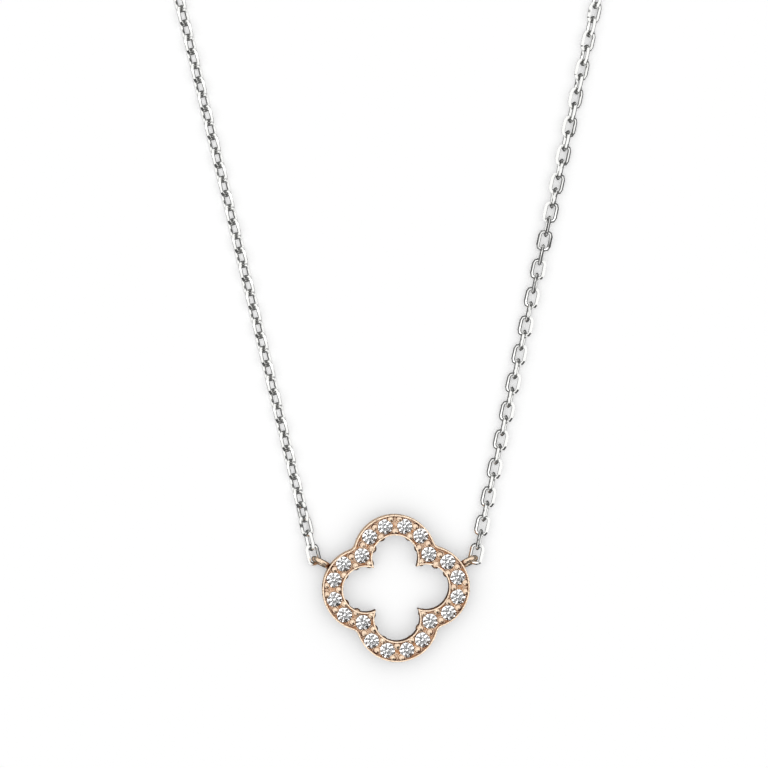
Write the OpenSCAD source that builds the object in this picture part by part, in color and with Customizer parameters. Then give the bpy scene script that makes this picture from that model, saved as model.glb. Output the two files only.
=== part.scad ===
// Clover necklace, lying on a surface at z = 0: an open clover of rose gold, set with a row of
// brilliants held by beads raised from the metal, on a fine cable chain with a ring clasp.

/* [Clover] */
// Width of the clover across two opposite petals
clover_w = 11; // [10.6:0.1:12]
// Thickness of the clover, from its back to its raised edges
clover_t = 1.6; // [1.5:0.05:2.2]
// Width of the band at the tip of a petal
band_w = 1.52; // [1.5:0.01:1.7]
// Distance from the centre to the hollow between two petals
notch_at = 4.38; // [4.2:0.02:4.6]
// Radius of the hollow between two petals
notch_r = 0.6; // [0.3:0.05:1]
// Distance from the centre to each inner point
cusp_at = 2.22; // [2:0.02:2.4]
// Width of the raised edge along both outlines
rim_w = 0.1; // [0.06:0.01:0.12]
// Depth of the ground between the raised edges
ground_drop = 0.2; // [0.05:0.01:0.24]
// Turn of the clover as it lies, anticlockwise
clover_turn = 2; // [-5:0.5:5]

/* [Stones] */
// Diameter of a stone at its girdle
stone_d = 1.12; // [0.9:0.02:1.14]
// Diameter of the table, as a share of the stone's
table_share = 0.57; // [0.53:0.01:0.62]
// Slope of the crown's main facets
crown_angle = 34.5; // [32:0.5:36]
// Slope of the pavilion's main facets
pavilion_angle = 40.75; // [40:0.25:42]
// Thickness of the girdle
girdle_t = 0.04; // [0.02:0.01:0.06]
// Depth of the girdle's middle below the ground
girdle_sink = 0.03; // [0.02:0.01:0.06]
// Gap between a stone and its seat
seat_gap = 0.03; // [0.02:0.005:0.04]
// Diameter of the hole drilled under each stone, open at the back
drill_d = 0.6; // [0.4:0.05:0.8]
// Place of the two stones beside a petal's tip, as a share of the way round to the corner stone
tip_stone_at = 0.208; // [0.203:0.001:0.222]
// Place of the two stones on a petal's shoulders, as a share of the same way
shoulder_stone_at = 0.592; // [0.586:0.002:0.604]
// From a petal's edge in to the centre of a shoulder stone
shoulder_stone_in = 0.68; // [0.66:0.01:0.76]
// From the hollow between two petals in to the centre of its stone
corner_stone_in = 0.84; // [0.8:0.01:0.88]
// Turn of the whole row of stones within the clover
row_turn = -1; // [-1:0.25:1]
// Turn of each stone against the one before it
facet_turn = 17; // [0:1:44]

/* [Beads] */
// Diameter of a bead raised between two stones, on the outer side
bead_d = 0.64; // [0.58:0.02:0.66]
// Diameter of a bead on the inner side
inner_bead_d = 0.68; // [0.62:0.02:0.7]
// Depth of a bead's middle below the ground
bead_sink = 0.12; // [0.08:0.01:0.15]
// Diameter of the foot that leans each bead on its stones
foot_d = 0.66; // [0.64:0.02:0.7]
// Height of the foot above the ground
foot_t = 0.05; // [0.03:0.01:0.08]
// Distance of the two outer beads at a petal's tip from the line between its stones
tip_bead_out = 0.58; // [0.5:0.01:0.6]
// Half the distance between these two beads
tip_bead_apart = 0.33; // [0.28:0.01:0.38]
// Distance of the inner bead at a petal's tip from that line
tip_bead_in = 0.34; // [0.26:0.01:0.38]
// Distance of the outer bead on a petal's shoulder from the line between its stones
shoulder_bead_out = 0.4; // [0.34:0.01:0.44]
// Distance of the inner bead on a petal's shoulder from that line
shoulder_bead_in = 0.47; // [0.42:0.01:0.52]
// Distance of the outer bead beside a corner stone from the line to its neighbour
corner_bead_out = 0.27; // [0.22:0.01:0.34]
// Distance of the inner bead beside a corner stone from that line
corner_bead_in = 0.5; // [0.44:0.01:0.54]
// Distance of the bead at each inner point from that point
cusp_bead_out = 0.5; // [0.42:0.01:0.54]

/* [Eyelets] */
// Outer diameter of an eyelet
eyelet_d = 1.6; // [1.5:0.05:1.8]
// Thickness of an eyelet's wire
eyelet_wire = 0.4; // [0.34:0.01:0.4]
// Angle of the left eyelet on its petal, above the petal's axis
left_eyelet_at = 35.4; // [25:0.1:45]
// Angle of the right eyelet on its petal, above the petal's axis
right_eyelet_at = 30.3; // [25:0.1:45]
// Angle at which both eyelets lean down from square to the edge
eyelet_lean = 5.5; // [0:0.5:12]
// Play between an eyelet's wire and the first link of the chain
eyelet_play = 0.04; // [0.03:0.01:0.08]
// Depth to which the left eyelet is let into the edge
left_eyelet_sink = 0.14; // [0.1:0.02:0.4]
// Depth to which the right eyelet is let into the edge
right_eyelet_sink = 0.34; // [0.1:0.02:0.4]
// Turn of the left eyelet about its own axis
left_eyelet_tilt = 8; // [2:1:10]
// Turn of the right eyelet about its own axis
right_eyelet_tilt = -16; // [-18:1:-8]

/* [Chain] */
// Length of the closed necklace, clover and clasp included
necklace_l = 420; // [380:5:500]
// Outer length of a link
link_l = 1.63; // [1.6:0.01:1.9]
// Outer width of a link
link_w = 1.1; // [1.1:0.02:1.3]
// Thickness of a link's wire
link_wire = 0.26; // [0.2:0.01:0.26]
// Radius of a link's corners, to the middle of its wire
link_corner_r = 0.3; // [0.26:0.02:0.38]
// Play between a link and its neighbour or the clasp's eye
link_play = 0.02; // [0.01:0.01:0.04]
// Angle of the left chain from upright
left_chain_lean = 13.5; // [8:0.5:20]
// Angle of the right chain from upright
right_chain_lean = 12.3; // [8:0.1:20]
// Turn of the first left link about the chain
left_link_roll = 20; // [-6:1:20]
// Turn of the first right link about the chain
right_link_roll = -8; // [-14:1:2]

/* [Clasp] */
// Outer diameter of the clasp's ring
clasp_d = 5; // [4.5:0.1:7]
// Thickness of the clasp's ring
clasp_wire = 1.1; // [1:0.05:1.3]
// Outer diameter of the eye at each side of the ring
clasp_eye_d = 1.6; // [1.5:0.05:2]
// Thickness of an eye's wire
clasp_eye_wire = 0.4; // [0.34:0.02:0.44]
// Depth to which an eye is let into the ring
clasp_eye_sink = 0.2; // [0.1:0.02:0.3]

/* [Hidden] */
$fn = 48;
ROSE = "#E0AC88";
WHITE = "#D8D8D6";
CLEAR = "#F4F8FC";
STONES = 20;
STONES_A_PETAL = 5;
// Of every five stones, counted from 0, the one in the corner between two petals
CORNER_STONE = 2;
// How far a cut runs past the face that it opens
CUT_PAST = 1;

function stone_name(i) = str("stone_", i < 10 ? "0" : "", i);
function turned(p, a) = [p.x * cos(a) - p.y * sin(a), p.x * sin(a) + p.y * cos(a)];
function unit(p) = p / norm(p);

// Each petal's outer edge is an arc through its tip that runs smoothly into the hollow's arc.
tip_at = clover_w / 2;
notch_c = (notch_at + notch_r) / sqrt(2);
tip_past_notch = tip_at - notch_c;
petal_r = (pow(tip_past_notch, 2) + pow(notch_c, 2) - pow(notch_r, 2))
    / (2 * (notch_r + tip_past_notch));
petal_c = tip_at - petal_r;

// Each petal's inner edge is an arc through its inner tip and the two points beside it.
inner_tip_at = tip_at - band_w;
cusp_c = cusp_at / sqrt(2);
hole_c = (pow(inner_tip_at, 2) - 2 * pow(cusp_c, 2)) / (2 * (inner_tip_at - cusp_c));
hole_r = inner_tip_at - hole_c;

ground_z = clover_t - ground_drop;
stone_z = ground_z - girdle_sink;
stone_r = stone_d / 2;
crown_h = stone_r * (1 - table_share) * tan(crown_angle);
pavilion_h = stone_r * tan(pavilion_angle);

// The stones run clockwise. The angles are about the petal's centre, from its axis.
corner_stone_c = (notch_at - corner_stone_in) / sqrt(2);
corner_stone_angle = atan2(corner_stone_c, corner_stone_c - petal_c);
tip_stone_angle = tip_stone_at * corner_stone_angle;
shoulder_stone_angle = shoulder_stone_at * corner_stone_angle;
function on_petal(petal, angle, inset) =
    turned([petal_c + (petal_r - inset) * cos(angle), (petal_r - inset) * sin(angle)], petal + row_turn);
function stone_at(i) =
    let (place = i % STONES_A_PETAL, petal = 90 - 90 * floor(i / STONES_A_PETAL))
    place == 0 ? on_petal(petal, -tip_stone_angle, band_w / 2)
    : place == CORNER_STONE - 1 ? on_petal(petal, -shoulder_stone_angle, shoulder_stone_in)
    : place == CORNER_STONE ? turned([corner_stone_c, -corner_stone_c], petal + row_turn)
    : place == CORNER_STONE + 1 ? on_petal(petal - 90, shoulder_stone_angle, shoulder_stone_in)
    : on_petal(petal - 90, tip_stone_angle, band_w / 2);

// Beads stand outside and inside the line between two neighbouring stones.
function bead(i, along, out) =
    let (a = stone_at(i), b = stone_at((i + 1) % STONES), run = unit(b - a))
    (a + b) / 2 + along * run + out * [-run.y, run.x];
function beside_corner(i) = i % STONES_A_PETAL == CORNER_STONE - 1 || i % STONES_A_PETAL == CORNER_STONE;
function at_tip(i) = i % STONES_A_PETAL == STONES_A_PETAL - 1;
outer_beads = [
    for (i = [0:STONES - 1]) each
        at_tip(i) ? [bead(i, -tip_bead_apart, tip_bead_out), bead(i, tip_bead_apart, tip_bead_out)]
        : [bead(i, 0, beside_corner(i) ? corner_bead_out : shoulder_bead_out)]
];
inner_beads = [
    for (i = [0:STONES - 1])
        bead(i, 0, at_tip(i) ? -tip_bead_in : beside_corner(i) ? -corner_bead_in : -shoulder_bead_in),
    for (corner = [45:90:315]) turned([cusp_at + cusp_bead_out, 0], corner)
];

// An eyelet stands upright on the edge. Its tip is the far side of its wire, which holds the chain.
eyelet_r = (eyelet_d - eyelet_wire) / 2;
eyelet_z = max(clover_t, eyelet_d) / 2;
function eyelet_sink(side) = side < 0 ? left_eyelet_sink : right_eyelet_sink;
function eyelet_tilt(side) = side < 0 ? left_eyelet_tilt : right_eyelet_tilt;
function eyelet_at(side) = side < 0 ? left_eyelet_at : right_eyelet_at;
function eyelet_way(side) =
    let (up = eyelet_at(side) - eyelet_lean)
    side < 0 ? 180 - up : up;
function eyelet_c(side) =
    let (at = eyelet_at(side))
    [side * (petal_c + petal_r * cos(at)), petal_r * sin(at)]
    + (eyelet_d / 2 - eyelet_sink(side)) * turned([1, 0], eyelet_way(side));
function eyelet_tip(side) =
    turned(eyelet_c(side) + eyelet_r * turned([1, 0], eyelet_way(side)), clover_turn);

// Each half of the chain runs straight from its eyelet, then in a round bend to the clasp. Its two
// straight lengths and the bends' radius follow from the necklace's length and the clasp's.
clasp_half = clasp_d / 2 + clasp_eye_d - clasp_eye_sink - clasp_eye_wire / 2;
left_tip = eyelet_tip(-1);
right_tip = eyelet_tip(1);
tip_gap = right_tip - left_tip;
chain_l = necklace_l - norm(tip_gap) - 2 * clasp_half;
lean_l = left_chain_lean;
lean_r = right_chain_lean;
bend_turn = (180 + lean_l + lean_r) * PI / 180;
// The left straight is base + per_right * right straight + per_bend * bend radius.
base = tip_gap.y / cos(lean_l);
per_right = cos(lean_r) / cos(lean_l);
per_bend = (sin(lean_r) - sin(lean_l)) / cos(lean_l);
across = [
    sin(lean_r) + per_right * sin(lean_l),
    per_bend * sin(lean_l) - cos(lean_r) - cos(lean_l),
    2 * clasp_half - tip_gap.x - base * sin(lean_l)
];
around = [1 + per_right, per_bend + bend_turn, chain_l - base];
solved = across[0] * around[1] - across[1] * around[0];
right_straight = (across[2] * around[1] - across[1] * around[2]) / solved;
bend_r = (across[0] * around[2] - across[2] * around[0]) / solved;
left_straight = base + per_right * right_straight + per_bend * bend_r;

function chain_lean(side) = side < 0 ? lean_l : lean_r;
function chain_tip(side) = side < 0 ? left_tip : right_tip;
function straight_l(side) = side < 0 ? left_straight : right_straight;
function side_l(side) = straight_l(side) + bend_r * (90 + chain_lean(side)) * PI / 180;
function bend_c(side) =
    chain_tip(side) + straight_l(side) * turned([0, 1], -side * chain_lean(side))
    + bend_r * turned([-side, 0], -side * chain_lean(side));
function bent(side, s) = max(0, s - straight_l(side)) * 180 / PI / bend_r;
function heading(side, s) = turned([0, 1], side * (bent(side, s) - chain_lean(side)));

// The chain's end links are elevated by the eyelet, and the rest lies on the surface.
end_link_c = link_l / 2 - link_wire / 2 - (eyelet_wire + link_wire) / 2 - eyelet_play;
last_link_c = link_l / 2 - link_wire / 2 - (clasp_eye_wire + link_wire) / 2 - link_play;
chain_z = link_w / 2;
descent_l = 4;
function tube_start() = end_link_c + link_l / 2 + link_play;
function tube_end(side) = side_l(side) - last_link_c - link_l / 2 - link_play;
function height(s) =
    chain_z + (eyelet_z - chain_z) * max(0, 1 - max(0, s - tube_start()) / descent_l);
function route(side, s) =
    let (
        flat = s < straight_l(side)
            ? chain_tip(side) + s * heading(side, 0)
            : bend_c(side) + bend_r * turned([side, 0], side * (bent(side, s) - chain_lean(side)))
    )
    [flat.x, flat.y, height(s)];

// The box around the whole necklace is centred on the origin.
left_most = bend_c(-1).x - bend_r - chain_z;
right_most = bend_c(1).x + bend_r + chain_z;
low_most = -petal_c * cos(clover_turn) - petal_r;
top_most = bend_c(1).y + bend_r + clasp_d / 2;
lay = -[left_most + right_most, low_most + top_most, 0] / 2;
clasp_c = [bend_c(1).x - clasp_half, bend_c(1).y + bend_r];

RINGS = 40;
TUBE_SIDES = 8;

module outline(inset) {
    difference() {
        for (petal = [0:90:270]) rotate(petal) {
            translate([petal_c, 0]) circle(petal_r - inset);
            polygon([[0, 0], [petal_c, 0], [notch_c, notch_c], [0, petal_c]]);
        }
        for (petal = [0:90:270]) rotate(petal)
            translate([notch_c, notch_c]) circle(notch_r + inset);
    }
}

module opening(grow) {
    for (petal = [0:90:270]) rotate(petal)
        translate([hole_c, 0]) circle(hole_r + grow);
    square(hole_c, center = true);
}

module band(inset) {
    difference() {
        outline(inset);
        opening(inset);
    }
}

// The band has a sunk ground between its raised edges.
module metal() {
    difference() {
        linear_extrude(clover_t) band(0);
        translate([0, 0, ground_z]) linear_extrude(clover_t) band(rim_w);
    }
}

module raised_beads() {
    translate([0, 0, ground_z]) {
        for (p = outer_beads) translate([each p, -bead_sink]) sphere(d = bead_d);
        for (p = inner_beads) translate([each p, -bead_sink]) sphere(d = inner_bead_d);
        translate([0, 0, -foot_t]) linear_extrude(2 * foot_t) intersection() {
            for (p = concat(outer_beads, inner_beads)) translate(p) circle(d = foot_d);
            band(rim_w / 2);
        }
    }
}

module eyelet(side) {
    translate([each eyelet_c(side), eyelet_z])
        rotate([0, 0, eyelet_way(side)]) rotate([90 + eyelet_tilt(side), 0, 0])
            rotate_extrude() translate([eyelet_r, 0]) circle(d = eyelet_wire);
}

// The seat is the stone's own form with the gap around it, drilled through to the back.
module seat() {
    wall = stone_r + seat_gap;
    low = -girdle_t / 2 - seat_gap * (1 - sin(pavilion_angle)) / cos(pavilion_angle);
    high = girdle_t / 2 + seat_gap * (1 - sin(crown_angle)) / cos(crown_angle);
    top = girdle_t / 2 + crown_h + seat_gap;
    back = -stone_z - CUT_PAST;
    rotate_extrude() polygon([
        [0, back],
        [drill_d / 2, back],
        [drill_d / 2, low - (wall - drill_d / 2) * tan(pavilion_angle)],
        [wall, low],
        [wall, high],
        [wall - (top - high) / tan(crown_angle), top],
        [0, top]
    ]);
}

module clover() {
    color(ROSE) translate(lay) rotate(clover_turn) difference() {
        union() {
            metal();
            raised_beads();
            eyelet(-1);
            eyelet(1);
        }
        for (i = [0:STONES - 1]) translate([each stone_at(i), stone_z]) seat();
    }
}

// A round brilliant: a table, 8 star, 8 main and 16 upper facets over a girdle with 16 sides,
// 16 lower and 8 main facets under it. Rows: table, stars' feet, girdle top and foot, lower, culet.
module brilliant() {
    eighth = 45;
    half = eighth / 2;
    star_r = (table_share * cos(half) + 1) / 2;
    lower_r = 0.22;
    rise = girdle_t / 2;
    ring = function (count, first, r, z) [
        for (k = [0:count - 1])
            let (a = first + 360 * k / count) [stone_r * r * cos(a), stone_r * r * sin(a), z]
    ];
    points = concat(
        ring(8, 0, table_share, rise + crown_h),
        ring(8, half, star_r, rise + stone_r * (1 - star_r * cos(half)) * tan(crown_angle)),
        ring(16, 0, 1, rise),
        ring(16, 0, 1, -rise),
        ring(8, half, lower_r, -rise - stone_r * (1 - lower_r * cos(half)) * tan(pavilion_angle)),
        [[0, 0, -rise - pavilion_h]]
    );
    table = 0;
    star = 8;
    upper = 16;
    lower = 32;
    deep = 48;
    culet = 56;
    next = function (k) (k + 1) % 8;
    faces = concat(
        [[for (k = [7:-1:0]) table + k]],
        [for (k = [0:7]) [table + k, table + next(k), star + k]],
        [for (k = [0:7]) [table + next(k), star + next(k), upper + 2 * next(k), star + k]],
        [for (k = [0:7]) [star + k, upper + 2 * k + 1, upper + 2 * k]],
        [for (k = [0:7]) [star + k, upper + 2 * next(k), upper + 2 * k + 1]],
        [for (k = [0:15]) [upper + k, upper + (k + 1) % 16, lower + (k + 1) % 16, lower + k]],
        [for (k = [0:7]) [deep + k, lower + 2 * k, lower + 2 * k + 1]],
        [for (k = [0:7]) [deep + k, lower + 2 * k + 1, lower + 2 * next(k)]],
        [for (k = [0:7]) [culet, deep + k, lower + 2 * next(k), deep + next(k)]]
    );
    polyhedron(points, faces);
}

module stone(i) {
    color(CLEAR) translate(lay) rotate(clover_turn)
        translate([each stone_at(i - 1), stone_z]) rotate(facet_turn * i) brilliant();
}

// A link's wire has two wide facets cut along its outer side, and narrow ones along its inner side.
// The shares are of half its thickness: first outwards from its middle, then up.
CUT_WIRE = [[1, 0.15], [0.05, 1], [-0.65, 0.9], [-1, 0.35]];
module wire_section() {
    half = [for (p = CUT_WIRE) p * link_wire / 2];
    polygon(concat(half, [for (k = [len(half) - 1:-1:0]) [half[k].x, -half[k].y]]));
}

// A link lies along X, with its width along Y: four round corners and four straights between them.
module link() {
    lengthways = [link_l - link_wire, link_w - link_wire] / 2;
    for (k = [0:3]) {
        half = k % 2 == 0 ? lengthways : [lengthways.y, lengthways.x];
        corner = half - [link_corner_r, link_corner_r];
        rotate(90 * k) {
            translate(corner) rotate_extrude(angle = 90) translate([link_corner_r, 0]) wire_section();
            translate([half.x, corner.y, 0]) rotate([90, 0, 0]) linear_extrude(2 * corner.y) wire_section();
        }
    }
}

module placed_link(side, s, roll) {
    way = heading(side, s);
    color(WHITE) translate(lay + route(side, s))
        rotate(atan2(way.y, way.x)) rotate([roll, 0, 0]) link();
}

module end_link(side) {
    placed_link(side, end_link_c, side < 0 ? left_link_roll : right_link_roll);
}

module last_link(side) {
    placed_link(side, side_l(side) - last_link_c, 90);
}

// The run of links between the end links, as one tube as wide as a link that lies on the surface.
module chain_tube(side) {
    corner_r = link_w / 2 / cos(180 / TUBE_SIDES);
    ring = function (k)
        let (
            s = tube_start() + (tube_end(side) - tube_start()) * k / (RINGS - 1),
            way = heading(side, s)
        )
        [
            for (j = [0:TUBE_SIDES - 1])
                let (a = 360 * (j + 0.5) / TUBE_SIDES)
                route(side, s) + corner_r * [-way.y * cos(a), way.x * cos(a), sin(a)]
        ];
    at = function (k, j) k * TUBE_SIDES + j % TUBE_SIDES;
    color(WHITE) translate(lay) polyhedron(
        [for (k = [0:RINGS - 1]) each ring(k)],
        concat(
            [[for (j = [TUBE_SIDES - 1:-1:0]) at(0, j)]],
            [
                for (k = [0:RINGS - 2], j = [0:TUBE_SIDES - 1]) each
                    [[at(k, j), at(k, j + 1), at(k + 1, j)], [at(k, j + 1), at(k + 1, j + 1), at(k + 1, j)]]
            ],
            [[for (j = [0:TUBE_SIDES - 1]) at(RINGS - 1, j)]]
        )
    );
}

module clasp() {
    eye_c = clasp_half - (clasp_eye_d - clasp_eye_wire) / 2;
    color(WHITE) translate(lay + [each clasp_c, chain_z]) {
        rotate_extrude() translate([(clasp_d - clasp_wire) / 2, 0]) circle(d = clasp_wire);
        for (end = [-1, 1]) translate([end * eye_c, 0, 0])
            rotate_extrude() translate([(clasp_eye_d - clasp_eye_wire) / 2, 0]) circle(d = clasp_eye_wire);
    }
}

clover();
for (i = [1:STONES]) stone(i);
end_link(-1);  // end_link_left
end_link(1);  // end_link_right
chain_tube(-1);  // chain_left
chain_tube(1);  // chain_right
last_link(-1);  // last_link_left
last_link(1);  // last_link_right
clasp();
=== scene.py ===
"""A clover necklace of rose gold and white gold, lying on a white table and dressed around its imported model.

The sections follow the necklace as it is put together: the clover, its stones, the chain from the
eyelets to the clasp, and then the table, the light and the camera above the pendant.
"""
import math

import bpy
import numpy as np
from mathutils import Matrix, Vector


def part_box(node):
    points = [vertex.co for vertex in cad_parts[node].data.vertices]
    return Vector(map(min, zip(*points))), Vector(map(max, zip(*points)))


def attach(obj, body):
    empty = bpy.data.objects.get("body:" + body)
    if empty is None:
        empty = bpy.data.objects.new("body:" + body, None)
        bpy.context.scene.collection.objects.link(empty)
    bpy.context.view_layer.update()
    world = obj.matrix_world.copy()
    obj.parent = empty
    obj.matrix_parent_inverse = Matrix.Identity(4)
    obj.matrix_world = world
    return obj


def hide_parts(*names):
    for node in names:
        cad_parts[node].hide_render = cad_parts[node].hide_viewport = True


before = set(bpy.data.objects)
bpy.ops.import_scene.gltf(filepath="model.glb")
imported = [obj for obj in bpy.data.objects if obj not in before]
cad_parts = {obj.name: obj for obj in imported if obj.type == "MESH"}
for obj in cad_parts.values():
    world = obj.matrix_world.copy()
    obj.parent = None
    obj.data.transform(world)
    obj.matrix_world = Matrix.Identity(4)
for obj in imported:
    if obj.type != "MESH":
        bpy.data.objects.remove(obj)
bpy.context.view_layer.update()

# The clover
#
# One casting in rose gold: a flat band with a thin raised edge along both outlines, and beads
# raised from its ground to hold the stones. Both eyelets are soldered to its side petals.

MM = 0.001
STONE_COUNT = 20
STONES = [f"stone_{i:02d}" for i in range(1, STONE_COUNT + 1)]
# The cream is the lit gold. The ground, inner wall and crevice tones below it are painted shade.
ROSE_GOLD = "#F0D7BD"
ROSE_GOLD_GROUND_PAINTED_SHADE = "#BE8A62"
ROSE_GOLD_INNER_WALL_PAINTED_SHADE = "#B07C5C"
ROSE_GOLD_CREVICE_PAINTED_SHADE = "#6E3C1E"
ROSE_GOLD_ON_TABLE = "#787878"
# Heights above the table: the walls end at the first, and the wheel reaches the metal from the
# second up and has polished it by the third. Over the same heights the colour goes from the ground's
# darker orange, a painted shade of light bounced among the beads and rims, to the lit cream.
WALL_HEIGHT = 1.36 * MM
GROUND_HEIGHT = 1.41 * MM
POLISHED_AND_LIT_HEIGHT = 1.46 * MM
# Distances from the clover's middle: beyond the first a wall is an outer one, and beyond the second
# the metal is an eyelet's.
INNER_REACH = 4.18 * MM
BAND_REACH = 5.52 * MM
# How far up a face has to look for the wheel to reach it at all, and fully: 1 is straight up.
# Over the same range the colour goes from the darker orange, a painted shade of light bounced
# between the beads, to the lit cream.
STEEPEST_POLISHED_AND_LIT = 0.3
FULLY_POLISHED_AND_LIT = 0.95
# The ground is rubbed bright in patches: they start where a noise of their size passes the first
# value, and past the second they have the third's share of the full shine.
BURNISHED_PATCH = 0.4 * MM
RUBBED_FROM = 0.42
RUBBED_FULLY = 0.62
RUBBED_SHINE = 0.75
# Painted shade darkens the places where metal within reach leaves less of the sky open than the
# first share, and there is none where more than the second share is open.
CREVICE_REACH = 0.3 * MM
CREVICE_FULL_SHADE = 0.35
CREVICE_UNSHADED = 0.95
GROUND_ROUGHNESS = 0.36
POLISHED_ROUGHNESS = 0.13
INNER_WALL_ROUGHNESS = 0.4
OUTER_WALL_ROUGHNESS = 1.0
EYELET_ROUGHNESS = 0.2
EDGE_WEAR = 0.03 * MM
# The marks of casting and polishing are finer than these, which are as coarse as they need to show.
CAST_LUMP = 0.16 * MM
CAST_LUMP_DEPTH = 0.06 * MM
POLISH_GRAIN = 0.03 * MM
POLISH_GRAIN_DEPTH = 0.002 * MM


def linear(colour):
    """The linear RGBA of an sRGB hex colour: each channel through the sRGB transfer curve."""
    s = np.array([int(colour[i:i + 2], 16) for i in (1, 3, 5)]) / 255
    dark, bright = s / 12.92, ((s + 0.055) / 1.055) ** 2.4
    return (*np.where(s <= 0.04045, dark, bright).tolist(), 1.0)


def add(tree, kind, links=(), values=(), **settings):
    """Adds a node, sets its properties and input values, and links sockets into its inputs."""
    node = tree.nodes.new(kind)
    for name, value in settings.items():
        setattr(node, name, value)
    for name, value in dict(values).items():
        node.inputs[name].default_value = value
    for name, socket in dict(links).items():
        tree.links.new(socket, node.inputs[name])
    return node


def centre(name):
    """The middle of a CAD node's box."""
    low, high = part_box(name)
    return (np.array(low) + np.array(high)) / 2


def new_material(name):
    """An empty node material and its tree."""
    material = bpy.data.materials.new(name)
    material.use_nodes = True
    material.node_tree.nodes.clear()
    return material, material.node_tree


# Cast and polished rose gold, glossy where the wheel reached the beads and edges and rubbed bright
# in patches on the cast ground. Its colour carries painted shade: cream on high, upward faces, more
# orange and less bright low on the ground and on the beads' steep sides, where light bounces among
# the beads, browner on the inner walls, and brown in the crevices round the beads, where little sky
# is open. The outer walls are cream and satin, and the eyelets polished.
def polished_rose_gold():
    """The clover's material, told apart by height, by distance from the middle and by the faces' way."""
    material, tree = new_material("polished_rose_gold")
    middle = np.mean([centre(name) for name in STONES], axis=0)
    place = add(tree, "ShaderNodeTexCoord").outputs["Object"]
    height = add(tree, "ShaderNodeSeparateXYZ", links={"Vector": place}).outputs["Z"]
    from_middle = add(tree, "ShaderNodeVectorMath", operation="SUBTRACT",
                      links={0: place}, values={1: middle}).outputs["Vector"]
    along_table = add(tree, "ShaderNodeVectorMath", operation="MULTIPLY",
                      links={0: from_middle}, values={1: (1, 1, 0)}).outputs["Vector"]
    distance = add(tree, "ShaderNodeVectorMath", operation="LENGTH", links={0: along_table}).outputs["Value"]
    low = add(tree, "ShaderNodeMath", operation="LESS_THAN",
              links={0: height}, values={1: WALL_HEIGHT}).outputs[0]
    outer = add(tree, "ShaderNodeMath", operation="GREATER_THAN",
                links={0: distance}, values={1: INNER_REACH}).outputs[0]
    eyelet = add(tree, "ShaderNodeMath", operation="GREATER_THAN",
                 links={0: distance}, values={1: BAND_REACH}).outputs[0]
    wall = add(tree, "ShaderNodeMath", operation="MAXIMUM", links={0: low, 1: eyelet}).outputs[0]

    # Painted shade and light: high faces that look up get the lit cream, low and steep ones the darker orange.
    raised = add(tree, "ShaderNodeMapRange", links={"Value": height},
                 values={"From Min": GROUND_HEIGHT, "From Max": POLISHED_AND_LIT_HEIGHT}).outputs["Result"]
    way = add(tree, "ShaderNodeNewGeometry").outputs["Normal"]
    upward = add(tree, "ShaderNodeSeparateXYZ", links={"Vector": way}).outputs["Z"]
    facing_up = add(tree, "ShaderNodeMapRange", links={"Value": upward},
                    values={"From Min": STEEPEST_POLISHED_AND_LIT, "From Max": FULLY_POLISHED_AND_LIT}).outputs["Result"]
    polish_and_painted_light = add(tree, "ShaderNodeMath", operation="MULTIPLY", links={0: raised, 1: facing_up}).outputs[0]
    patches = add(tree, "ShaderNodeTexNoise", links={"Vector": place},
                  values={"Scale": 1 / BURNISHED_PATCH, "Detail": 2.0, "Roughness": 0.6}).outputs["Fac"]
    rubbed = add(tree, "ShaderNodeMapRange", links={"Value": patches},
                 values={"From Min": RUBBED_FROM, "From Max": RUBBED_FULLY,
                         "To Max": RUBBED_SHINE}).outputs["Result"]
    painted_light_and_rubbing = add(tree, "ShaderNodeMath", operation="MAXIMUM", links={0: polish_and_painted_light, 1: rubbed}).outputs[0]

    # The top tone mixes painted shade with the real wear of the rubbed patches.
    top_tone_with_painted_shade = add(tree, "ShaderNodeMix", data_type="RGBA", links={"Factor": painted_light_and_rubbing},
                   values={"A": linear(ROSE_GOLD_GROUND_PAINTED_SHADE), "B": linear(ROSE_GOLD)}).outputs["Result"]
    # Painted shade: the inner walls, facing the clover's shaded inside, get a darker, browner tone than the
    # outer ones.
    wall_tone = add(tree, "ShaderNodeMix", data_type="RGBA", links={"Factor": outer},
                    values={"A": linear(ROSE_GOLD_INNER_WALL_PAINTED_SHADE), "B": linear(ROSE_GOLD)}).outputs["Result"]
    bare_tone = add(tree, "ShaderNodeMix", data_type="RGBA",
                    links={"Factor": wall, "A": top_tone_with_painted_shade, "B": wall_tone}).outputs["Result"]
    # Painted shade: brown darkening round the beads, where the metal near by leaves little sky open.
    open_sky = add(tree, "ShaderNodeAmbientOcclusion", only_local=True, samples=8,
                   values={"Distance": CREVICE_REACH}).outputs["AO"]
    unshaded_share = add(tree, "ShaderNodeMapRange", links={"Value": open_sky},
                values={"From Min": CREVICE_FULL_SHADE, "From Max": CREVICE_UNSHADED}).outputs["Result"]
    crevice_shaded_tone = add(tree, "ShaderNodeMix", data_type="RGBA", links={"Factor": unshaded_share, "B": bare_tone},
                      values={"A": linear(ROSE_GOLD_CREVICE_PAINTED_SHADE)}).outputs["Result"]
    # The table is given back little of the gold's colour, so the shade round the clover stays grey.
    from_table = add(tree, "ShaderNodeLightPath").outputs["Is Diffuse Ray"]
    colour = add(tree, "ShaderNodeMix", data_type="RGBA", links={"Factor": from_table, "A": crevice_shaded_tone},
                 values={"B": linear(ROSE_GOLD_ON_TABLE)}).outputs["Result"]

    gloss = add(tree, "ShaderNodeMapRange", links={"Value": polish_and_painted_light},
                values={"To Min": GROUND_ROUGHNESS, "To Max": POLISHED_ROUGHNESS}).outputs["Result"]
    satin = add(tree, "ShaderNodeMapRange", links={"Value": outer},
                values={"To Min": INNER_WALL_ROUGHNESS, "To Max": OUTER_WALL_ROUGHNESS}).outputs["Result"]
    side_gloss = add(tree, "ShaderNodeMix", links={"Factor": eyelet, "A": satin},
                     values={"B": EYELET_ROUGHNESS}).outputs["Result"]
    roughness = add(tree, "ShaderNodeMix",
                    links={"Factor": wall, "A": gloss, "B": side_gloss}).outputs["Result"]

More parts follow.
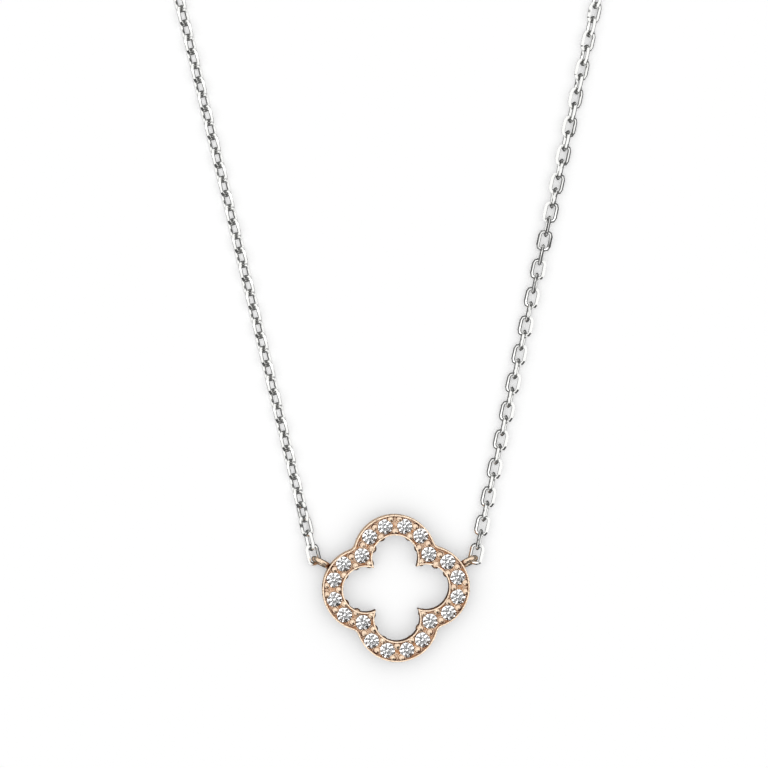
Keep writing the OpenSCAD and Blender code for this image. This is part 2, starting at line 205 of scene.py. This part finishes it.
    worn = add(tree, "ShaderNodeBevel", samples=4, values={"Radius": EDGE_WEAR}).outputs["Normal"]
    lumps = add(tree, "ShaderNodeTexNoise", links={"Vector": place},
                values={"Scale": 1 / CAST_LUMP, "Detail": 2.0, "Roughness": 0.5}).outputs["Fac"]
    grain = add(tree, "ShaderNodeTexNoise", links={"Vector": place},
                values={"Scale": 1 / POLISH_GRAIN, "Detail": 1.0}).outputs["Fac"]
    cast = add(tree, "ShaderNodeBump", links={"Height": lumps, "Normal": worn},
               values={"Strength": 0.6, "Distance": CAST_LUMP_DEPTH}).outputs["Normal"]
    finish = add(tree, "ShaderNodeBump", links={"Height": grain, "Normal": cast},
                 values={"Strength": 0.2, "Distance": POLISH_GRAIN_DEPTH}).outputs["Normal"]
    metal = add(tree, "ShaderNodeBsdfPrincipled", values={"Metallic": 1.0},
                links={"Base Color": colour, "Roughness": roughness, "Normal": finish}).outputs["BSDF"]
    add(tree, "ShaderNodeOutputMaterial", links={"Surface": metal})
    return material


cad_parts["clover"].material_slots[0].material = polished_rose_gold()

# The stones
#
# Twenty round brilliants of colourless diamond, cut and polished to flat facets. Each sits in its
# own seat, and the beads pushed over its girdle hold it.

DIAMOND = "#FFFFFF"
DIAMOND_IOR = 2.417


# Cut and polished diamond: clear and without colour, it bends light so strongly that each facet
# shows either the white tent or the dark hole in it, in sharp small marks.
def brilliant_cut_diamond():
    """The stones' material, the same all over: the facets alone make its marks."""
    material, tree = new_material("brilliant_cut_diamond")
    crystal = add(tree, "ShaderNodeBsdfPrincipled",
                  values={"Base Color": linear(DIAMOND), "Roughness": 0.0, "IOR": DIAMOND_IOR,
                          "Transmission Weight": 1.0}).outputs["BSDF"]
    add(tree, "ShaderNodeOutputMaterial", links={"Surface": crystal})
    return material


diamond = brilliant_cut_diamond()
for name in STONES:
    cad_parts[name].material_slots[0].material = diamond

# The chain
#
# A fine cable chain on each side, of drawn white gold wire, rhodium plated. Each link is bent and
# soldered through the one before it, a quarter turn round, and its outer side is cut to two bright
# facets. The last one holds the clasp's eye.

WHITE_GOLD = "#EFEFED"
# The marks of drawing are finer than these, which are as coarse as a close view needs to show them.
DRAW_LINE = 0.05 * MM
DRAW_LINE_DEPTH = 0.003 * MM
LINK_L = 1.63 * MM
LINK_W = 1.1 * MM
LINK_WIRE = 0.26 * MM
LINK_CORNER_R = 0.3 * MM
LINK_PLAY = 0.02 * MM
LONGEST_PITCH = LINK_L - 2 * LINK_WIRE - LINK_PLAY
# The upper half of the cut wire's section, as shares of half its thickness: outwards, then up.
CUT_WIRE = ((1, 0.15), (0.05, 1), (-0.65, 0.9), (-1, 0.35))
CLASP_EYE_WIRE = 0.4 * MM
# The angle of each side's chain from upright, and its links' roll: distances along the chain in mm,
# each with the roll in degrees that the links have there.
CHAINS = {
    "left": {"side": -1, "lean": 13.5, "rolls": ((0, 20), (4, 45), (165, 45), (198, 90))},
    "right": {
        "side": 1, "lean": 12.3,
        "rolls": ((0, -8), (4, -15), (16, -15), (22, -8), (27, 8), (36, 20), (42, 28), (165, 10), (198, 0)),
    },
}
# The length over which the chain comes down from the eyelet to the table.
DESCENT_L = 5 * MM


# Drawn white gold under rhodium plate: a cool, nearly white mirror with clear dark and bright lines,
# which the marks of the drawing plate soften only a little.
def rhodium_plated_white_gold():
    """The material of the links and the clasp."""
    material, tree = new_material("rhodium_plated_white_gold")
    place = add(tree, "ShaderNodeTexCoord").outputs["Object"]
    marks = add(tree, "ShaderNodeTexNoise", links={"Vector": place},
                values={"Scale": 1 / DRAW_LINE, "Detail": 2.0}).outputs["Fac"]
    drawn = add(tree, "ShaderNodeBump", links={"Height": marks},
                values={"Strength": 0.15, "Distance": DRAW_LINE_DEPTH}).outputs["Normal"]
    plated = add(tree, "ShaderNodeBsdfPrincipled", links={"Normal": drawn},
                 values={"Base Color": linear(WHITE_GOLD), "Metallic": 1.0, "Roughness": 0.1}).outputs["BSDF"]
    add(tree, "ShaderNodeOutputMaterial", links={"Surface": plated})
    return material


def halfway_round(side, lean, start, end):
    """Length of the straight run and radius of the bend that lead from start, leaning from upright, to
    end, where the chain runs level: start + straight * heading + radius * (bend's chord) = end."""
    s, c = math.sin(lean), math.cos(lean)
    return np.linalg.solve([[side * s, -side * c], [c, 1 + s]], (end - start)[:2])


def along(side, lean, start, straight, radius, run):
    """Places and headings at distances along the route: a straight line, then a circle's arc."""
    first = np.pi / 2 - side * lean
    heading = first + side * np.maximum(0, run - straight) / radius
    corner = start[:2] + np.minimum(run, straight)[:, None] * [math.cos(first), math.sin(first)]
    arc = side * radius * np.stack([np.sin(heading) - math.sin(first), math.cos(first) - np.cos(heading)], 1)
    return corner + arc, np.stack([np.cos(heading), np.sin(heading)], 1)


def link_form():
    """A link's points, as sections by corners by its three axes: cut wire carried along a rectangle with
    round corners, p(a) = corner's centre + radius * (cos a, sin a), with three sections a corner."""
    a = np.radians(np.add.outer([0, 90, 180, 270], [0, 45, 90]).ravel())
    out = np.stack([np.cos(a), np.sin(a)], 1)
    corner = np.repeat([[1, 1], [-1, 1], [-1, -1], [1, -1]], 3, axis=0)
    half = np.array([LINK_L - LINK_WIRE, LINK_W - LINK_WIRE]) / 2
    line = corner * (half - LINK_CORNER_R) + LINK_CORNER_R * out
    upper = np.array(CUT_WIRE)
    section = LINK_WIRE / 2 * np.concatenate([upper, upper[::-1] * [1, -1]])
    flat = line[:, None] + section[None, :, :1] * out[:, None]
    rise = np.broadcast_to(section[:, 1], flat.shape[:2])
    return np.dstack([flat, rise])


def stand(way, roll):
    """Each link's axes: its way, then across and through its flat side, turned about the way by its roll."""
    level = np.cross([0, 0, 1], way)
    level /= np.linalg.norm(level, axis=1)[:, None]
    wide = np.cos(roll)[:, None] * level + np.sin(roll)[:, None] * np.cross(way, level)
    return np.stack([way, wide, np.cross(way, wide)], 1)


def laid_links(name, side, lean, rolls):
    """The points of all loose links of one side, as links by sections by corners by x, y and z: the
    link's form, turned to stand along the route, and as high as it and the next one need to clear the
    table, z = rest + (height of the first link - rest) * (1 - run / descent) squared."""
    first, last = centre(f"end_link_{name}"), centre(f"last_link_{name}")
    clasp_low, clasp_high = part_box("clasp")
    eye = centre("clasp") + [side * ((clasp_high.x - clasp_low.x) / 2 - CLASP_EYE_WIRE / 2), 0, 0]
    straight, radius = halfway_round(side, lean, first, eye)
    length = straight + radius * (math.pi / 2 + lean) - np.linalg.norm(eye - last)
    pitches = math.ceil(length / LONGEST_PITCH)
    number = np.arange(1, pitches)
    run = number * length / pitches
    place, heading = along(side, lean, first, straight, radius, run)
    stops = np.array(rolls) * [MM, 1]
    quarter_turns = 90 * number
    roll = np.radians(np.interp(run, stops[:, 0], stops[:, 1]) + quarter_turns)
    form = link_form()
    level_way = np.column_stack([heading, 0 * run])
    depth = -np.einsum("asc,ncx->nasx", form, stand(level_way, roll))[..., 2].min(axis=(1, 2))
    rest = np.maximum(depth, np.append(depth[1:], depth[-1]))
    z = rest + (first[2] - rest) * np.clip(1 - run / DESCENT_L, 0, 1) ** 2
    way = np.column_stack([heading, np.gradient(z, run)])
    way /= np.linalg.norm(way, axis=1)[:, None]
    points = np.einsum("asc,ncx->nasx", form, stand(way, roll)) + np.column_stack([place, z])[:, None, None]
    points[..., 2] += np.maximum(0, -points[..., 2].min(axis=(1, 2)))[:, None, None]
    return points


def ring_faces(count, around, sides):
    """Quads between neighbouring sections of count closed rings, with their outer side outwards: point
    number = (ring * sections a ring + section) * corners a section + corner."""
    ring, section, corner = np.meshgrid(np.arange(count), np.arange(around), np.arange(sides), indexing="ij")

    def number(section, corner):
        return (ring * around + section % around) * sides + corner % sides

    quads = [number(section, corner), number(section + 1, corner),
             number(section + 1, corner + 1), number(section, corner + 1)]
    return np.stack(quads, -1).reshape(-1, 4)


def smooth_mesh(name, points, faces, material):
    """A smooth-shaded object made of these points and quads."""
    mesh = bpy.data.meshes.new(name)
    mesh.from_pydata(points.reshape(-1, 3).tolist(), [], faces.tolist())
    mesh.polygons.foreach_set("use_smooth", [True] * len(mesh.polygons))
    mesh.materials.append(material)
    piece = bpy.data.objects.new(name, mesh)
    bpy.context.scene.collection.objects.link(piece)
    return piece


def keep_facets(mesh, sides):
    """Marks the edges along the wire as sharp: both their ends have the same place in their sections."""
    ends = np.empty(2 * len(mesh.edges), int)
    mesh.edges.foreach_get("vertices", ends)
    place = ends.reshape(-1, 2) % sides
    mesh.edges.foreach_set("use_edge_sharp", (place[:, 0] == place[:, 1]).tolist())


white_gold = rhodium_plated_white_gold()
for name, chain in CHAINS.items():
    points = laid_links(name, chain["side"], math.radians(chain["lean"]), chain["rolls"])
    links = smooth_mesh(f"links_{name}", points, ring_faces(*points.shape[:3]), white_gold)
    keep_facets(links.data, points.shape[2])
    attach(links, "root")
    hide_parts(f"chain_{name}")

for name in ("end_link_left", "end_link_right", "last_link_left", "last_link_right"):
    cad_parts[name].material_slots[0].material = white_gold

# The clasp
#
# A plain ring of round white gold wire with an eye soldered to each side, rhodium plated as the
# chain is. Each eye holds the last link of its side's chain.

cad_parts["clasp"].material_slots[0].material = white_gold

# The table
#
# A sheet of matt white board, far wider than the necklace, laid level under it. It isn't part of
# the necklace.

TABLE_WHITE = "#FAFAFA"
TABLE_IN_METAL = "#808080"
TABLE_HALF = 4.0
BACK_LIGHT = 0.33


# Matt white board with a little light behind it: an even white without gloss. The metal mirrors it
# in grey, which draws the dark lines along the links and under the beads.
def matt_white_board():
    """The table's material: one white for the camera, and a grey for all other rays."""
    material, tree = new_material("matt_white_board")
    seen = add(tree, "ShaderNodeLightPath").outputs["Is Camera Ray"]
    shade = add(tree, "ShaderNodeMix", data_type="RGBA", links={"Factor": seen},
                values={"A": linear(TABLE_IN_METAL), "B": linear(TABLE_WHITE)}).outputs["Result"]
    glow = add(tree, "ShaderNodeMath", operation="MULTIPLY",
               links={0: seen}, values={1: BACK_LIGHT}).outputs[0]
    paper = add(tree, "ShaderNodeBsdfPrincipled", links={"Base Color": shade, "Emission Strength": glow},
                values={"Roughness": 0.9, "Specular IOR Level": 0.0,
                        "Emission Color": linear(TABLE_WHITE)}).outputs["BSDF"]
    add(tree, "ShaderNodeOutputMaterial", links={"Surface": paper})
    return material


corners = TABLE_HALF * np.array([[-1, -1, 0], [1, -1, 0], [1, 1, 0], [-1, 1, 0]])
table = smooth_mesh("table", corners, np.array([[0, 1, 2, 3]]), matt_white_board())

# The light
#
# A large soft box overhead lights the table. The metal and stones mirror a white tent lit from
# outside, which has a wide opening to the dim room on the lower right, gaps between its panels, a
# lamp close behind its top, and a hole for the camera that shows dark in the stones.

# Heights above the table as their sines: the box is dark up to its edge and full at its middle.
BOX_EDGE = 0.3
BOX_MIDDLE = 0.95
BOX_LIGHT = 1.25
TENT_LIGHT = 1.16
# Its skirt is dim up to the first of these heights, and from the second up the cloth is fully lit.
SKIRT_FOOT = 0.12
SKIRT_TOP = 0.24
SKIRT_LIGHT = 0.07
# Patches of the sky, all in degrees: the way round to each, its height above the table, and how far
# it reaches to each side, up to a soft edge. The first of the gaps is the opening to the room.
TENT_GAPS = (
    {"azimuth": -62, "height": 38, "reach": 27},
    {"azimuth": 20, "height": 66, "reach": 7},
    {"azimuth": 95, "height": 57, "reach": 6},
    {"azimuth": 160, "height": 70, "reach": 6},
    {"azimuth": 215, "height": 56, "reach": 8},
    {"azimuth": 300, "height": 64, "reach": 7},
)
GAP_EDGE = 1
GAP_LIGHT = 0.08
LAMP = {"azimuth": 110, "height": 78, "reach": 10}
LAMP_EDGE = 4
LAMP_LIGHT = 1.8
# Rays that come out of a stone find a hole and a dim side in the tent, and its cloth so many times
# brighter as the last value says, so the facets show sharp whites and darks.
CAMERA_HOLE = {"azimuth": -62, "height": 80, "reach": 33}
BRIGHT_SIDE = {"azimuth": 135, "height": 20, "reach": 90}
BRIGHT_SIDE_EDGE = 80
DIM_SIDE_LIGHT = 0.45
STONE_LIGHT = 2.3
BACKDROP = "#F4F4F4"


def within(tree, direction, patch, edge, inside, outside):
    """A value that is one thing within a patch of the sky and another past its soft edge, from the
    cosine of the angle between a ray's direction and the patch's middle."""
    azimuth, height, reach = (math.radians(patch[key]) for key in ("azimuth", "height", "reach"))
    middle = math.cos(height) * math.cos(azimuth), math.cos(height) * math.sin(azimuth), math.sin(height)
    facing = add(tree, "ShaderNodeVectorMath", operation="DOT_PRODUCT",
                 links={0: direction}, values={1: middle}).outputs["Value"]
    soft = math.radians(edge)
    return add(tree, "ShaderNodeMapRange", links={"Value": facing},
               values={"From Min": math.cos(reach + soft), "From Max": math.cos(reach - soft),
                       "To Min": outside, "To Max": inside}).outputs["Result"]


def light_tent():
    """The world: the box for rays that leave a matt surface, the tent for those that leave metal or a
    stone, and a plain backdrop for the camera's."""
    world = bpy.data.worlds.new("light_tent")
    world.use_nodes = True
    world.cycles.sampling_method = "NONE"
    tree = world.node_tree
    tree.nodes.clear()
    ray = add(tree, "ShaderNodeLightPath").outputs
    direction = add(tree, "ShaderNodeTexCoord").outputs["Generated"]
    climb = add(tree, "ShaderNodeSeparateXYZ", links={"Vector": direction}).outputs["Z"]
    box = add(tree, "ShaderNodeMapRange", links={"Value": climb},
              values={"From Min": BOX_EDGE, "From Max": BOX_MIDDLE, "To Max": BOX_LIGHT}).outputs["Result"]

    cloth = add(tree, "ShaderNodeMapRange", links={"Value": climb},
                values={"From Min": SKIRT_FOOT, "From Max": SKIRT_TOP,
                        "To Min": SKIRT_LIGHT}).outputs["Result"]
    panels = [within(tree, direction, gap, GAP_EDGE, GAP_LIGHT, 1.0) for gap in TENT_GAPS]
    lamp = within(tree, direction, LAMP, LAMP_EDGE, LAMP_LIGHT, 1.0)
    for part in (*panels, lamp):
        cloth = add(tree, "ShaderNodeMath", operation="MULTIPLY", links={0: cloth, 1: part}).outputs[0]
    hole = within(tree, direction, CAMERA_HOLE, GAP_EDGE, TENT_LIGHT * GAP_LIGHT, TENT_LIGHT * STONE_LIGHT)
    uneven = within(tree, direction, BRIGHT_SIDE, BRIGHT_SIDE_EDGE, 1.0, DIM_SIDE_LIGHT)
    for_stones = add(tree, "ShaderNodeMath", operation="MULTIPLY", links={0: hole, 1: uneven}).outputs[0]
    strength = add(tree, "ShaderNodeMix", links={"Factor": ray["Is Transmission Ray"], "B": for_stones},
                   values={"A": TENT_LIGHT}).outputs["Result"]
    tent = add(tree, "ShaderNodeMath", operation="MULTIPLY", links={0: cloth, 1: strength}).outputs[0]

    light = add(tree, "ShaderNodeMix", data_type="RGBA",
                links={"Factor": ray["Is Diffuse Ray"], "A": tent, "B": box}).outputs["Result"]
    shown = add(tree, "ShaderNodeMix", data_type="RGBA", links={"Factor": ray["Is Camera Ray"], "A": light},
                values={"B": linear(BACKDROP)}).outputs["Result"]
    room = add(tree, "ShaderNodeBackground", links={"Color": shown}).outputs["Background"]
    add(tree, "ShaderNodeOutputWorld", links={"Surface": room})
    return world


bpy.context.scene.world = light_tent()
bpy.context.scene.view_settings.view_transform = "Standard"

# The camera
#
# It looks down on the pendant through a long lens, with the clasp's side up, and stands a little to
# the upper left of it, so the inner walls on the lower right just show.

# The width of the view at the pendant, its middle, and how far off upright and to which side, round
# from the right, the camera stands.
VIEW_W = 57.23 * MM
VIEW_CENTRE = np.array([0.65, -72.92, 1.5]) * MM
VIEW_TILT = math.radians(3.5)
VIEW_SIDE = math.radians(143)
LENS = 300
SENSOR = 36

camera = bpy.data.objects.new("camera", bpy.data.cameras.new("camera"))
camera.data.type = "PERSP"
camera.data.lens = LENS
camera.data.sensor_width = SENSOR
camera.data.clip_start = 10 * MM
off_upright = math.sin(VIEW_TILT)
back = np.array([off_upright * math.cos(VIEW_SIDE), off_upright * math.sin(VIEW_SIDE), math.cos(VIEW_TILT)])
right = np.cross([0, 1, 0], back)
right /= np.linalg.norm(right)
turn = np.column_stack([right, np.cross(back, right), back])
camera.rotation_euler = Matrix(turn.tolist()).to_euler()
camera.location = VIEW_CENTRE + back * VIEW_W * LENS / SENSOR
bpy.context.scene.collection.objects.link(camera)
bpy.context.scene.camera = camera
